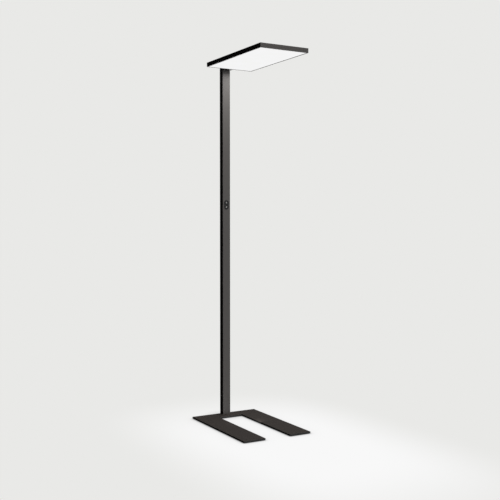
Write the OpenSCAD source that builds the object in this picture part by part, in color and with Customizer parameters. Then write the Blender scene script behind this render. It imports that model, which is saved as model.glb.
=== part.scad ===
// Office floor lamp with a flat panel head, a slim square-edged mast and a forked floor plate.
// Units are millimetres. +Z is up and the head and the fork both point along -Y.
// The origin is on the floor, under the middle of the lamp's footprint.

/* [Lamp] */
// Height from the floor to the top of the head
lamp_h = 1950; // [1700:10:2200]

/* [Base plate] */
// Width across both legs
base_w = 392; // [340:2:460]
// Length from the heel to the tips of the legs
base_l = 588; // [500:2:680]
// Width of one leg
leg_w = 124; // [90:1:140]
// Depth of the heel that joins the legs
heel_l = 82; // [60:1:120]
// Thickness of the steel plate
base_t = 8; // [6:0.5:12]
// Radius of the plate's corners in plan
base_corner_r = 1.6; // [1:0.2:6]
// Bevel broken along the plate's edges
base_bevel = 0.6; // [0.4:0.1:1.2]
// Diameter of a glide pad
glide_d = 26; // [20:1:32]
// Thickness of a glide pad
glide_t = 2; // [1.5:0.1:4]
// Distance of the pads' centres from the plate's edges
glide_inset = 22; // [18:1:30]

/* [Mast] */
// Width of the mast, across the lamp
mast_w = 46; // [45:1:56]
// Depth of the mast, front to back
mast_d = 35; // [34.6:0.2:42]
// Wall of the extrusion
mast_wall = 2.2; // [1.8:0.1:2.6]
// Outer corner radius of the extrusion
mast_corner_r = 0.8; // [0.5:0.1:2]
// Distance of the screw ports' centres from the outer faces
port_inset = 6.5; // [6:0.1:7]
// Radius of the core that a screw cuts its thread in
port_r = 2.3; // [2.1:0.05:2.5]
// Wall round a screw port
port_wall = 1.7; // [1.4:0.1:1.9]
// Width of the slit that opens a port
port_slit = 2; // [1.6:0.1:2.4]

/* [Control unit] */
// Height of the control unit's middle above the floor
control_z = 1183; // [1000:1:1300]
// Distance between the two buttons' centres
button_pitch = 24; // [23:0.5:30]
// Radius of a button's cap
button_r = 9.4; // [8.6:0.1:9.6]
// Width of the groove between a cap and the control plate
ring_gap = 0.8; // [0.5:0.1:0.9]
// Travel of a button
button_travel = 1.2; // [0.8:0.1:1.6]
// How far a cap stands out of the mast's face
cap_proud = 1.8; // [1.5:0.1:2.4]
// Radius of the round ends of the control plate
control_plate_r = 14; // [13.6:0.2:16]
// Thickness of the control plate in front of the mast
control_plate_t = 1.2; // [1:0.1:1.5]
// Radius of the small lens in each cap
button_lens_r = 3.6; // [2.5:0.1:4.5]

/* [Neck] */
// Gap between the mast and the head, which the neck bridges
neck_l = 36; // [30:1:60]
// Wall of the neck's tray
neck_wall = 2; // [1.6:0.1:2.2]
// Floor of the neck's tray
neck_floor = 4; // [3:0.2:5]
// Thickness of the neck's lid
neck_lid_t = 2; // [1.5:0.1:3]

/* [Head] */
// Width of the head
head_w = 276; // [240:2:340]
// Length of the head
head_l = 576; // [540:2:660]
// Thickness of the head
head_t = 23.5; // [23:0.5:28]
// Wall of the frame rails
rail_wall = 2; // [1.6:0.1:2.6]
// Radius along the rails' outer edges
rail_edge_r = 0.6; // [0.4:0.1:0.8]
// Width of the rim that shows below the diffuser's edge
lip_w = 5; // [4.5:0.1:7]
// Thickness of that rim
lip_t = 1.4; // [1.2:0.1:1.8]
// Width of the inner ribs of a rail, from its outer face
rib_w = 9; // [8:0.2:12]
// Thickness of the inner ribs
rib_t = 1.4; // [1.2:0.1:1.8]
// Thickness of the diffuser
diffuser_t = 3; // [2:0.2:3.4]
// Thickness of the light guide
guide_t = 4; // [3:0.2:4.4]
// Thickness of the foam that presses the light guide down
foam_t = 2.2; // [1.8:0.1:2.6]
// Thickness of the chassis sheet
chassis_t = 1.5; // [1:0.1:2]
// Thickness of the top cover
cover_t = 1.5; // [1.2:0.1:2]
// Width of the window for the light that goes up
window_w = 180; // [140:2:200]
// Length of that window
window_l = 430; // [360:2:440]

/* [Electrics] */
// Length of the lamp's power supply
driver_l = 300; // [240:5:360]
// Height of the power supply's lower end above the floor
driver_z = 190; // [180:5:260]
// Height of the cable gland's axis above the floor
gland_z = 56; // [46:1:80]
// Radius of the hole that the mains lead passes through
gland_bore_r = 3.5; // [3:0.1:3.8]
// How far the gland's cap stands out behind the mast
gland_out = 12; // [11.5:0.5:16]

/* [Hidden] */
$fn = 48;

// Clearances
fit_gap = 0.2;        // between pieces that slide together by hand
plate_gap = 0.3;      // round plates that lie in the frame
shank_gap = 0.05;     // round a screw's shank in its hole
eps = 0.01;           // overshoot of a cut through a face

// Places along the lamp, front to back
lamp_l = gland_out + mast_d + neck_l + head_l;
rear_y = lamp_l / 2 - gland_out;          // back of the mast, the neck and the plate
mast_y = rear_y - mast_d / 2;             // middle of the mast
front_y = rear_y - mast_d;                // front face of the mast
head_rear_y = front_y - neck_l;
head_y = head_rear_y - head_l / 2;        // middle of the head

// Heights
plate_z = glide_t;
mast_z = plate_z + base_t;
head_z = lamp_h - head_t;

// Base plate
gap_w = base_w - 2 * leg_w;
glide_bevel = 0.5;

// Screws of the M5 size that go into the mast's ports
screw_r = port_r - shank_gap;
screw_hole_r = 2.7;
screw_head_r = 4.25;
screw_head_h = 5;
countersink_r = 4.9;
countersink_h = 2.6;
screw_bite = 24;       // length of thread inside a port
hex_key_r = 2.3;
base_key_r = 1.7;

// Mast
port_ro = port_r + port_wall;
port_x = mast_w / 2 - port_inset;
port_y = mast_d / 2 - port_inset;
inner_w = mast_w - 2 * mast_wall;
inner_d = mast_d - 2 * mast_wall;
channel_w = 2 * (port_x - port_ro);       // clear width between the ports

// Tray for the electrics, which slides down two grooves in the mast
tray_t = 1.5;
tray_y = 4.5;
tray_rib_t = 1.2;
tray_rib_l = 2.4;
tray_w = inner_w - 2 * fit_gap;
tray_front_y = tray_y - tray_t / 2;
tray_top = driver_z + driver_l + 30;

// Power supply
driver_w = channel_w - 1;
driver_h = 17.6;
ear_l = 9;
ear_t = 2;
ear_screw_x = 8;
small_screw_r = 1.45;      // M3
small_hole_r = 1.5;
small_head_r = 2.75;
small_head_h = 1.8;
small_key_r = 1.1;
small_flat_r = 2.8;        // its countersunk head
small_flat_h = 1.6;
small_flat_key_r = 1;
screw_sink = 0.1;          // how far a countersunk head lies below the surface
groove_pitch = 4;          // cooling grooves of the power supply's case
groove_w = 1.6;
groove_end = 10;

// Terminal block
terminal_z = gland_z + 36;
terminal_h = 34;
terminal_w = 22;
terminal_d = 15;
wire_r = 1.2;
wire_pitch = 5;
wire_y = tray_front_y - 7;
funnel_r = 2;
funnel_h = 4;
clamp_well_r = 1.7;
clamp_well_h = 2;
clamp_inset = 7;
terminal_floor = 3;        // depth of the fixing screw's well

// Leads
lamp_lead_r = 2.4;
lamp_lead_y = tray_front_y - ear_t - lamp_lead_r - fit_gap;   // in front of the power supply's ears
lead_bend_r = 9;
control_lead_r = 1.4;
control_lead_x = 6;

// Control unit, in its own depth from the mast's front face inwards
plug_r = channel_w / 2 - 0.3;             // round ends of the part that enters the mast
cutout_r = plug_r + fit_gap;
plug_depth = 9.6;
bore_r = button_r + ring_gap;
flange_r = bore_r + 0.8;
pocket_r = flange_r + 0.3;
plate_bevel = 0.5;
ring_bevel = 0.9;
cap_bevel = 0.5;
shoulder = 1;                             // depth of the shoulder that keeps a cap in
cap_flange_t = 1;
stem_r = 2.2;
stem_end = 4;
dish_depth = 0.6;
dish_ball_r = (button_r * button_r + dish_depth * dish_depth) / (2 * dish_depth);
lens_seat = 1.6;
lens_bevel_h = 0.2;
lens_bevel_w = 0.3;
switch_size = 6.4;
switch_front = plug_depth - 4;
plunger_r = 1.7;
plunger_end = plug_depth - button_travel - 0.4;
board_t = 1.6;
board_screw_x = 9.6;
board_screw_r = 0.95;
board_hole_r = 1;
board_head_r = 1.8;
board_head_h = 1.4;
board_key_r = 0.8;
board_bite = 6;            // length of thread in the control plate
connector = [8, 12, 3.5];
snap_w = 6;
snap_l = 2;
snap_t = 1.6;
snap_play = 0.1;

// Layers of the head, from its underside up
diffuser_z = lip_t;
guide_z = diffuser_z + diffuser_t;
reflector_t = 0.4;
reflector_z = guide_z + guide_t;
foam_z = reflector_z + reflector_t;
chassis_z = foam_z + foam_t;
chassis_top = chassis_z + chassis_t;
shelf_z = chassis_z - rib_t;
cover_z = head_t - cover_t;
ledge_z = cover_z - rib_t;

// LED strips beside the light guide
strip_t = 1.2;
strip_l = head_l - 56;
led = [0.8, 3, 2.8];
led_pitch = 13;
guide_w = head_w - 2 * (rail_wall + strip_t + led[0] + plate_gap);

// Board for the light that goes up
up_board_w = 60;
up_board_l = window_l - 30;
up_led = 3.5;
up_led_t = 0.8;
up_led_pitch = 25;
up_led_row = 36;

// Pieces inside the head
key_l = 26;
key_w = 6;
block_w = 42;
block_l = 34;
block_h = ledge_z - chassis_top - fit_gap;
joint_z = chassis_top + block_h / 2;      // height of the neck's screws and lead above the underside
m4_r = 1.95;
m4_hole_r = 2;
m4_head_r = 3.5;
m4_head_h = 4;
m4_key_r = 1.7;
m4_bite = 18;              // length of thread in the mounting block
m4_depth = 21;
key_hole_inset = 7;
m4_x = 11;
lead_hole_r = lamp_lead_r + 0.8;
head_terminal = [24, 14, 6.5];
head_terminal_y = head_rear_y - rail_wall - block_l - 14;
board_wire_r = 0.7;
board_wire_x = 6;
window_r = 4;              // corners of the window
lens_flange = 8;
lens_flange_t = 1.5;
foam_w = 10;

// Neck
neck_w = mast_w;
neck_total_l = mast_d + neck_l;
neck_y = rear_y - neck_total_l / 2;
neck_rim = 1.1;
neck_front_wall = 4;
boss_r = 3.2;
lid_screw_l = 8;
boss_x = neck_w / 2 - neck_wall - boss_r + 0.6;
boss_y = front_y - neck_l / 2;

// Gland, measured outwards from the mast's back
gland_hex = 18;
gland_flange_t = 4;
gland_thread_r = 6;
gland_nose_r = 6.5;
gland_nose_l = gland_out - 3;
gland_body_bore = gland_bore_r + 0.7;
seal_r = gland_bore_r + 1.6;
seal_l = gland_nose_l - gland_flange_t + 1;
gland_cap_r = 8.4;
gland_dome = 2;            // bevel round the cap's end
gland_cap_floor = 0.3;     // play between the body's nose and the cap's end
nut_t = 4;
nut_hex = 17;
cover_flat_r = 2.6;
cover_flat_h = 1.2;
cover_screw_l = 6;

// ---------- shared shapes ----------

// Rectangle about the origin with round corners
module round_rect(size, r) {
    square([size[0] - 2 * r, size[1]], center = true);
    square([size[0], size[1] - 2 * r], center = true);
    for (sx = [-1, 1], sy = [-1, 1])
        translate([sx * (size[0] / 2 - r), sy * (size[1] / 2 - r)]) circle(r);
}

// Rectangle with its corners cut off
module bevelled_rect(size, c) {
    polygon([
        [-size[0] / 2 + c, 0], [size[0] / 2 - c, 0],
        [size[0] / 2, c], [size[0] / 2, size[1] - c],
        [size[0] / 2 - c, size[1]], [-size[0] / 2 + c, size[1]],
        [-size[0] / 2, size[1] - c], [-size[0] / 2, c]
    ]);
}

// Slab standing on z = 0 whose top and bottom edges are bevelled all round
module bevelled_slab(w, l, t, r, c) {
    intersection() {
        linear_extrude(t) round_rect([w, l], r);
        rotate([90, 0, 0]) linear_extrude(2 * l, center = true) bevelled_rect([w, t], c);
        rotate([90, 0, 90]) linear_extrude(2 * w, center = true) bevelled_rect([l, t], c);
    }
}

// Two circles and the straight part between them, along Y
module stadium(r, pitch) {
    for (s = [-1, 1]) translate([0, s * pitch / 2]) circle(r);
    square([2 * r, pitch], center = true);
}

// Stadium plate whose front edge, at z = 0, is bevelled
module bevelled_stadium(r, pitch, t, c) {
    for (s = [-1, 1]) translate([0, s * pitch / 2, 0]) {
        cylinder(h = c, r1 = r - c, r2 = r);
        translate([0, 0, c]) cylinder(h = t - c, r = r);
    }
    rotate([90, 0, 0]) linear_extrude(pitch, center = true)
        polygon([[-r + c, 0], [r - c, 0], [r, c], [r, t], [-r, t], [-r, c]]);
}

// Cap screw with a hexagon socket: head above z = 0, shank below
module cap_screw(head_r, head_h, shank_r, length, key_r) {
    difference() {
        union() {
            cylinder(h = head_h, r = head_r);
            translate([0, 0, -length]) cylinder(h = length + eps, r = shank_r);
        }
        translate([0, 0, head_h / 2]) cylinder(h = head_h, r = key_r, $fn = 6);
    }
}

// Countersunk screw: its flat head is at z = 0 and it points down
module flat_screw(head_r, head_h, shank_r, length, key_r) {
    difference() {
        union() {
            translate([0, 0, -head_h]) cylinder(h = head_h, r1 = shank_r, r2 = head_r);
            translate([0, 0, -length]) cylinder(h = length - head_h + eps, r = shank_r);
        }
        translate([0, 0, -head_h * 0.6]) cylinder(h = head_h, r = key_r, $fn = 6);
    }
}

// Countersunk hole for such a screw, open at z = 0
module flat_screw_hole(head_r, head_h, hole_r, depth) {
    translate([0, 0, -depth]) cylinder(h = depth + eps, r = hole_r);
    translate([0, 0, -head_h - 0.1]) cylinder(h = head_h, r1 = hole_r, r2 = head_r + 0.1);
    translate([0, 0, -0.1]) cylinder(h = 1, r = head_r + 0.1);
}

// The mast's own frame: its axis is Z, and z stays the height above the floor
module at_mast() translate([0, mast_y, 0]) children();

module at_ports() for (sx = [-1, 1], sy = [-1, 1]) translate([sx * port_x, sy * port_y, 0]) children();

// The control unit's frame: z goes into the mast from its front face, and -y is up
module at_control() translate([0, front_y, control_z]) rotate([-90, 0, 0]) children();

module at_button(side) translate([0, -side * button_pitch / 2, 0]) children();

// The gland's frame: z points out of the mast's back
module at_gland() translate([0, rear_y, gland_z]) rotate([-90, 0, 0]) children();

// The head's frame: the origin is the middle of its underside
module at_head() translate([0, head_y, head_z]) children();

// Frame on the head's underside at its back, in the middle
module at_head_rear() translate([0, head_rear_y, head_z]) children();

// ---------- base ----------

glide_places = [
    [-base_w / 2 + glide_inset, rear_y - glide_inset],
    [base_w / 2 - glide_inset, rear_y - glide_inset],
    [-base_w / 2 + leg_w / 2, rear_y - base_l / 2],
    [base_w / 2 - leg_w / 2, rear_y - base_l / 2],
    [-base_w / 2 + glide_inset, rear_y - base_l + glide_inset],
    [base_w / 2 - glide_inset, rear_y - base_l + glide_inset],
    [-gap_w / 2 - glide_inset, rear_y - base_l + glide_inset],
    [gap_w / 2 + glide_inset, rear_y - base_l + glide_inset]
];

module base_plate() {
    color("#2b2827") translate([0, 0, plate_z]) difference() {
        union() {
            for (side = [-1, 1])
                translate([side * (base_w - leg_w) / 2, rear_y - base_l / 2, 0])
                    bevelled_slab(leg_w, base_l, base_t, base_corner_r, base_bevel);
            translate([0, rear_y - heel_l / 2, 0])
                bevelled_slab(base_w, heel_l, base_t, base_corner_r, base_bevel);
        }
        at_mast() at_ports() mirror([0, 0, 1])
            flat_screw_hole(countersink_r, countersink_h, screw_hole_r, base_t + 1);
    }
}

module base_glides() {
    color("#4a4a4a") for (p = glide_places)
        translate(p) rotate_extrude()
            polygon([
                [0, 0], [glide_d / 2 - glide_bevel, 0], [glide_d / 2, glide_bevel],
                [glide_d / 2, glide_t], [0, glide_t]
            ]);
}

module base_screws() {
    color("silver") at_mast() at_ports() translate([0, 0, plate_z]) mirror([0, 0, 1])
        flat_screw(countersink_r, countersink_h, screw_r, base_t + screw_bite, base_key_r);
}

// ---------- mast ----------

// One screw port, for the corner where x and y are both positive
module port_solid() {
    circle(port_ro);
    square(port_inset - mast_corner_r);
}

module port_void() {
    circle(port_r);
    rotate(225) translate([0, -port_slit / 2]) square([port_ro + 2, port_slit]);
}

module mast_section() {
    difference() {
        union() {
            difference() {
                round_rect([mast_w, mast_d], mast_corner_r);
                square([inner_w, inner_d], center = true);
            }
            for (mx = [0, 1], my = [0, 1]) mirror([mx, 0]) mirror([0, my])
                translate([port_x, port_y]) port_solid();
            for (side = [-1, 1], s = [-1, 1])
                translate([side * (inner_w - tray_rib_l) / 2, tray_y + s * (tray_t + tray_rib_t + fit_gap) / 2])
                    square([tray_rib_l + eps, tray_rib_t], center = true);
        }
        for (mx = [0, 1], my = [0, 1]) mirror([mx, 0]) mirror([0, my])
            translate([port_x, port_y]) port_void();
    }
}

module mast_profile() {
    color("#4b4a48") difference() {
        at_mast() translate([0, 0, mast_z]) linear_extrude(head_z - mast_z) mast_section();
        at_control() translate([0, 0, -1]) linear_extrude(mast_wall + 1.5) stadium(cutout_r, button_pitch);
        at_gland() translate([0, 0, -mast_wall - 1])
            cylinder(h = mast_wall + 2, r = gland_thread_r + fit_gap);
    }
}

// ---------- electrics in the mast ----------

// Across and up: one screw in each ear of the power supply, beside the lead
ear_screws = [
    [ear_screw_x, driver_z - ear_l / 2],
    [-ear_screw_x, driver_z + driver_l + ear_l / 2]
];

module gear_tray() {
    color("#b9bcbd") difference() {
        at_mast() translate([-tray_w / 2, tray_y - tray_t / 2, mast_z])
            cube([tray_w, tray_t, tray_top - mast_z]);
        // way through for the mains lead
        at_mast() translate([0, tray_y, gland_z]) rotate([90, 0, 0])
            cylinder(h = tray_t + 2, r = gland_thread_r, center = true);
        for (p = concat(ear_screws, [[0, terminal_z + terminal_h / 2]]))
            at_mast() translate([p[0], tray_y, p[1]]) rotate([90, 0, 0])
                cylinder(h = tray_t + 2, r = small_hole_r, center = true);
    }
}

module led_driver() {
    color("white") at_mast() difference() {
        union() {
            translate([-driver_w / 2, tray_front_y - driver_h, driver_z])
                cube([driver_w, driver_h, driver_l]);
            for (z = [driver_z - ear_l, driver_z + driver_l])
                translate([-driver_w / 2, tray_front_y - ear_t, z]) cube([driver_w, ear_t, ear_l]);
        }
        // cooling grooves along both sides
        for (side = [-1, 1], y = [groove_pitch : groove_pitch : driver_h - groove_pitch + 1])
            translate([(side * driver_w - groove_w) / 2, tray_front_y - y - 1, driver_z + groove_end])
                cube([groove_w, groove_w, driver_l - 2 * groove_end]);
        for (p = ear_screws)
            translate([p[0], tray_front_y - ear_t / 2, p[1]]) rotate([90, 0, 0])
                cylinder(h = ear_t + 1, r = small_hole_r, center = true);
    }
}

module driver_screws() {
    color("silver") {
        for (p = ear_screws)
            at_mast() translate([p[0], tray_front_y - ear_t, p[1]]) rotate([90, 0, 0])
                cap_screw(small_head_r, small_head_h, small_screw_r, ear_t + tray_t, small_key_r);
        at_mast() translate([0, tray_front_y - terminal_d + terminal_floor, terminal_z + terminal_h / 2])
            rotate([90, 0, 0]) cap_screw(
                small_head_r, small_head_h, small_screw_r, terminal_d - terminal_floor + tray_t, small_key_r
            );
    }
}

module terminal_block() {
    color("ivory") at_mast() difference() {
        translate([-terminal_w / 2, tray_front_y - terminal_d, terminal_z])
            cube([terminal_w, terminal_d, terminal_h]);
        // funnels for the incoming wires, and the clamping screws' wells
        for (i = [-1, 0, 1]) {
            translate([i * wire_pitch, wire_y, terminal_z - eps])
                cylinder(h = funnel_h, r1 = funnel_r, r2 = wire_r);
            for (z = [clamp_inset, terminal_h - clamp_inset])
                translate([i * wire_pitch, tray_front_y - terminal_d + clamp_well_h, terminal_z + z])
                    rotate([90, 0, 0]) cylinder(h = clamp_well_h + 2, r = clamp_well_r);
        }
        // well and hole of the fixing screw
        translate([0, tray_front_y - terminal_d - eps, terminal_z + terminal_h / 2]) rotate([-90, 0, 0])
            cylinder(h = terminal_floor + eps, r = small_head_r + fit_gap);
        translate([0, tray_front_y, terminal_z + terminal_h / 2]) rotate([90, 0, 0])
            translate([0, 0, -1]) cylinder(h = terminal_d, r = small_hole_r);
    }
}

// Three wires from the terminal block up to the power supply
module mains_wires() {
    color("#8a5a3a") at_mast() for (i = [-1, 0, 1])
        translate([i * wire_pitch, wire_y, terminal_z + terminal_h])
            cylinder(h = driver_z - terminal_z - terminal_h, r = wire_r);
}

// The lead that rises from the power supply, turns in the neck and ends in the head
module lamp_lead() {
    lead_y = mast_y + lamp_lead_y;
    rise = head_z + joint_z - lead_bend_r;
    color("#222222") {
        translate([0, lead_y, driver_z + driver_l])
            cylinder(h = rise - driver_z - driver_l + eps, r = lamp_lead_r);
        translate([0, lead_y - lead_bend_r, rise]) rotate([90, 0, 90])
            rotate_extrude(angle = 90) translate([lead_bend_r, 0]) circle(lamp_lead_r);
        translate([0, lead_y - lead_bend_r + eps, head_z + joint_z]) rotate([90, 0, 0])
            cylinder(h = lead_y - lead_bend_r + eps - head_terminal_y, r = lamp_lead_r);
    }
}

module control_lead() {
    lead_y = front_y + plug_depth + board_t + connector[2] / 2;
    top = control_z - button_pitch / 2 - connector[1] / 2;
    color("#222222") translate([control_lead_x, lead_y, driver_z + driver_l])
        cylinder(h = top - driver_z - driver_l, r = control_lead_r);
}

// ---------- cable gland ----------

module gland_body() {
    color("#1c1c1c") at_gland() difference() {
        union() {
            intersection() {
                cylinder(h = gland_flange_t, d = gland_hex / cos(30), $fn = 6);
                cylinder(h = gland_flange_t, r1 = gland_hex / 2 + 1.6, r2 = gland_hex / 2 + 0.6);
            }
            cylinder(h = gland_nose_l, r = gland_nose_r);
            translate([0, 0, -mast_wall - nut_t - 1.5])
                cylinder(h = mast_wall + nut_t + 2, r = gland_thread_r);
        }
        translate([0, 0, -mast_wall - nut_t - 2])
            cylinder(h = mast_wall + nut_t + 3 + gland_out, r = gland_body_bore);
        translate([0, 0, gland_nose_l - seal_l]) cylinder(h = seal_l + 1, r = seal_r + shank_gap);
    }
}

module gland_seal() {
    color("#2a2a2a") at_gland() translate([0, 0, gland_nose_l - seal_l]) difference() {
        cylinder(h = seal_l, r = seal_r);
        translate([0, 0, -1]) cylinder(h = seal_l + 2, r = gland_bore_r);
    }
}

// Hexagon cap with a domed end
module gland_cap() {
    wall_z = gland_nose_l + gland_cap_floor;
    skirt_z = gland_flange_t + fit_gap;
    skirt_l = gland_nose_l - gland_flange_t - 0.8;
    color("#1c1c1c") at_gland() difference() {
        union() {
            intersection() {
                translate([0, 0, skirt_z]) cylinder(h = skirt_l, d = 2 * gland_cap_r / cos(30), $fn = 6);
                translate([0, 0, skirt_z])
                    cylinder(h = skirt_l, r1 = gland_cap_r + 1, r2 = gland_cap_r + 0.2);
            }
            translate([0, 0, skirt_z])
                cylinder(h = gland_out - skirt_z - gland_dome, r = gland_cap_r);
            translate([0, 0, gland_out - gland_dome])
                cylinder(h = gland_dome, r1 = gland_cap_r, r2 = gland_cap_r - gland_dome);
        }
        translate([0, 0, gland_flange_t]) cylinder(h = wall_z - gland_flange_t, r = gland_nose_r + shank_gap);
        translate([0, 0, gland_flange_t]) cylinder(h = gland_out, r = gland_body_bore);
    }
}

module gland_nut() {
    color("#1c1c1c") at_gland() translate([0, 0, -mast_wall - nut_t]) difference() {
        intersection() {
            cylinder(h = nut_t, d = nut_hex / cos(30), $fn = 6);
            cylinder(h = nut_t, r1 = nut_hex / 2 + 0.4, r2 = nut_hex / 2 + 1.4);
        }
        translate([0, 0, -1]) cylinder(h = nut_t + 2, r = gland_thread_r + shank_gap);
    }
}

// ---------- control unit ----------

module control_plate() {
    color("#1b1a1a") at_control() difference() {
        union() {
            translate([0, 0, -control_plate_t])
                bevelled_stadium(control_plate_r, button_pitch, control_plate_t, plate_bevel);
            linear_extrude(plug_depth) stadium(plug_r, button_pitch);
            // snap hooks behind the mast's wall
            for (s = [-1, 1])
                translate([-snap_w / 2, s * (button_pitch / 2 + plug_r) - snap_t / 2, mast_wall + snap_play])
                    cube([snap_w, snap_t, snap_l]);
        }
        for (side = [-1, 1]) at_button(side) {
            translate([0, 0, -control_plate_t - 1]) cylinder(h = control_plate_t + shoulder + 2, r = bore_r);
            translate([0, 0, -control_plate_t - eps])
                cylinder(h = ring_bevel, r1 = bore_r + ring_bevel, r2 = bore_r);
            translate([0, 0, shoulder]) cylinder(h = plug_depth, r = pocket_r);
        }
        for (side = [-1, 1])
            translate([side * board_screw_x, 0, plug_depth - board_bite - 1])
                cylinder(h = board_bite + 2, r = board_hole_r);
    }
}

module cap(side) {
    front = -cap_proud;
    at_control() at_button(side) difference() {
        union() {
            translate([0, 0, front]) cylinder(h = cap_bevel, r1 = button_r - cap_bevel, r2 = button_r);
            translate([0, 0, front + cap_bevel]) cylinder(h = shoulder - front, r = button_r);
            translate([0, 0, shoulder + shank_gap]) cylinder(h = cap_flange_t, r = flange_r);
            translate([0, 0, shoulder]) cylinder(h = stem_end - shoulder, r = stem_r);
        }
        translate([0, 0, front + dish_depth - dish_ball_r]) sphere(dish_ball_r, $fn = 96);
        translate([0, 0, front - 1]) cylinder(h = dish_depth + lens_seat + 1, r = button_lens_r + shank_gap);
    }
}

module cap_lens(side) {
    seat = -cap_proud + dish_depth + lens_seat;
    at_control() at_button(side) {
        translate([0, 0, seat - lens_seat + lens_bevel_h])
            cylinder(h = lens_seat - lens_bevel_h, r = button_lens_r);
        translate([0, 0, seat - lens_seat])
            cylinder(h = lens_bevel_h, r1 = button_lens_r - lens_bevel_w, r2 = button_lens_r);
    }
}

module plunger(side) {
    at_control() at_button(side) translate([0, 0, stem_end])
        cylinder(h = plunger_end - stem_end, r = plunger_r);
}

module button_up_cap() color("#262525") cap(1);
module button_up_lens() color("#d8d8d4") cap_lens(1);
module button_up_plunger() color("#101010") plunger(1);
module button_down_cap() color("#262525") cap(-1);
module button_down_lens() color("#d8d8d4") cap_lens(-1);
module button_down_plunger() color("#101010") plunger(-1);

module switch_bodies() {
    color("#303030") at_control() for (side = [-1, 1]) at_button(side) difference() {
        translate([-switch_size / 2, -switch_size / 2, switch_front])
            cube([switch_size, switch_size, plug_depth - switch_front]);
        translate([0, 0, switch_front - 1])
            cylinder(h = plug_depth - switch_front + 0.8, r = plunger_r + shank_gap);
    }
}

// Board behind the buttons, with the socket of its lead
module control_board() {
    color("#1f5c3a") at_control() {
        difference() {
            translate([0, 0, plug_depth]) linear_extrude(board_t) stadium(plug_r - fit_gap, button_pitch);
            for (side = [-1, 1]) translate([side * board_screw_x, 0, plug_depth - 1])
                cylinder(h = board_t + 2, r = board_hole_r);
        }
        translate([control_lead_x, button_pitch / 2, plug_depth + board_t - eps])
            translate([-connector[0] / 2, -connector[1] / 2, 0]) cube(connector);
    }
}

module board_screws() {
    color("silver") at_control() for (side = [-1, 1])
        translate([side * board_screw_x, 0, plug_depth + board_t])
            cap_screw(board_head_r, board_head_h, board_screw_r, board_t + board_bite, board_key_r);
}

// ---------- neck ----------

module neck_outline(inset) {
    round_rect([neck_w - 2 * inset, neck_total_l - 2 * inset], max(mast_corner_r - inset, 0.3));
}

module neck_tray() {
    lid_seat = head_t - neck_lid_t;
    color("#232221") difference() {
        translate([0, neck_y, head_z]) difference() {
            linear_extrude(head_t) union() {
                neck_outline(0);
                // the front end is square where it meets the head
                translate([-neck_w / 2, -neck_total_l / 2]) square([neck_w, 4]);
            }
            // hollow, leaving the floor and a thicker front wall
            translate([-neck_w / 2 + neck_wall, -neck_total_l / 2 + neck_front_wall, neck_floor])
                cube([neck_w - 2 * neck_wall, neck_total_l - neck_wall - neck_front_wall, head_t]);
            translate([0, 0, lid_seat]) linear_extrude(neck_lid_t + 1) neck_outline(neck_rim);
        }
        at_mast() at_ports() translate([0, 0, head_z - 1])
            cylinder(h = neck_floor + 2, r = screw_hole_r);
        translate([0, mast_y + lamp_lead_y, head_z - 1]) cylinder(h = neck_floor + 2, r = lead_hole_r);
        at_head_rear() translate([0, 0, joint_z]) rotate([-90, 0, 0]) {
            translate([0, 0, -1]) cylinder(h = neck_front_wall + 2, r = lead_hole_r);
            for (side = [-1, 1]) translate([side * m4_x, 0, -1])
                cylinder(h = neck_front_wall + 2, r = m4_hole_r);
        }
    }
    // posts that the lid is screwed to
    color("#232221") for (side = [-1, 1]) translate([side * boss_x, boss_y, head_z + neck_floor - eps])
        difference() {
            cylinder(h = lid_seat - neck_floor + eps, r = boss_r);
            translate([0, 0, lid_seat - neck_floor - lid_screw_l])
                cylinder(h = lid_screw_l + 1, r = small_hole_r);
        }
}

module neck_lid() {
    color("#232221") difference() {
        translate([0, neck_y, lamp_h - neck_lid_t]) linear_extrude(neck_lid_t)
            neck_outline(neck_rim + fit_gap);
        for (side = [-1, 1]) translate([side * boss_x, boss_y, lamp_h])
            flat_screw_hole(small_flat_r, small_flat_h, small_hole_r, neck_lid_t + 1);
    }
}

module neck_lid_screws() {
    color("#151515") for (side = [-1, 1]) translate([side * boss_x, boss_y, lamp_h - screw_sink])
        flat_screw(small_flat_r, small_flat_h, small_screw_r, lid_screw_l, small_flat_key_r);
}

module neck_mast_screws() {
    color("silver") at_mast() at_ports() translate([0, 0, head_z + neck_floor])
        cap_screw(screw_head_r, screw_head_h, screw_r, neck_floor + screw_bite, hex_key_r);
}

module neck_head_screws() {
    color("silver") at_head_rear() for (side = [-1, 1])
        translate([side * m4_x, neck_front_wall, joint_z]) rotate([-90, 0, 0])
            cap_screw(m4_head_r, m4_head_h, m4_r, neck_front_wall + rail_wall + m4_bite, m4_key_r);
}

// ---------- head frame ----------

// Section of a rail: x runs inwards from its outer face and y is the height above the underside
module rail_section() {
    r = rail_edge_r;
    translate([0, r]) square([rail_wall, head_t - 2 * r]);
    translate([r, 0]) square([rail_wall - r, head_t]);
    for (z = [r, head_t - r]) translate([r, z]) circle(r);
    // rim under the diffuser
    translate([r, 0]) square([lip_w - r, lip_t]);
    // shelf for the chassis sheet and ledge for the top cover
    for (z = [shelf_z, ledge_z]) translate([rail_wall - eps, z]) square([rib_w - rail_wall, rib_t]);
}

// Plan of a rail that runs along Y on the left: its ends are mitred
module mitre_plan(width, length, depth) {
    polygon([
        [-width / 2, length / 2], [-width / 2 + depth, length / 2 - depth],
        [-width / 2 + depth, -length / 2 + depth], [-width / 2, -length / 2]
    ]);
}

// Rail along Y at the left of a frame of that width and length
module mitred_rail(width, length) {
    intersection() {
        translate([-width / 2, 0, 0]) rotate([90, 0, 0])
            linear_extrude(length, center = true) rail_section();
        translate([0, 0, -1]) linear_extrude(head_t + 2) mitre_plan(width, length, rib_w + 4);
    }
}

// Holes for the cover's screws in the ledge of a side rail
cover_screw_x = head_w / 2 - (rail_wall + rib_w) / 2;
cover_screw_y = [-head_l / 2 + 40, 0, head_l / 2 - 40];

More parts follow.
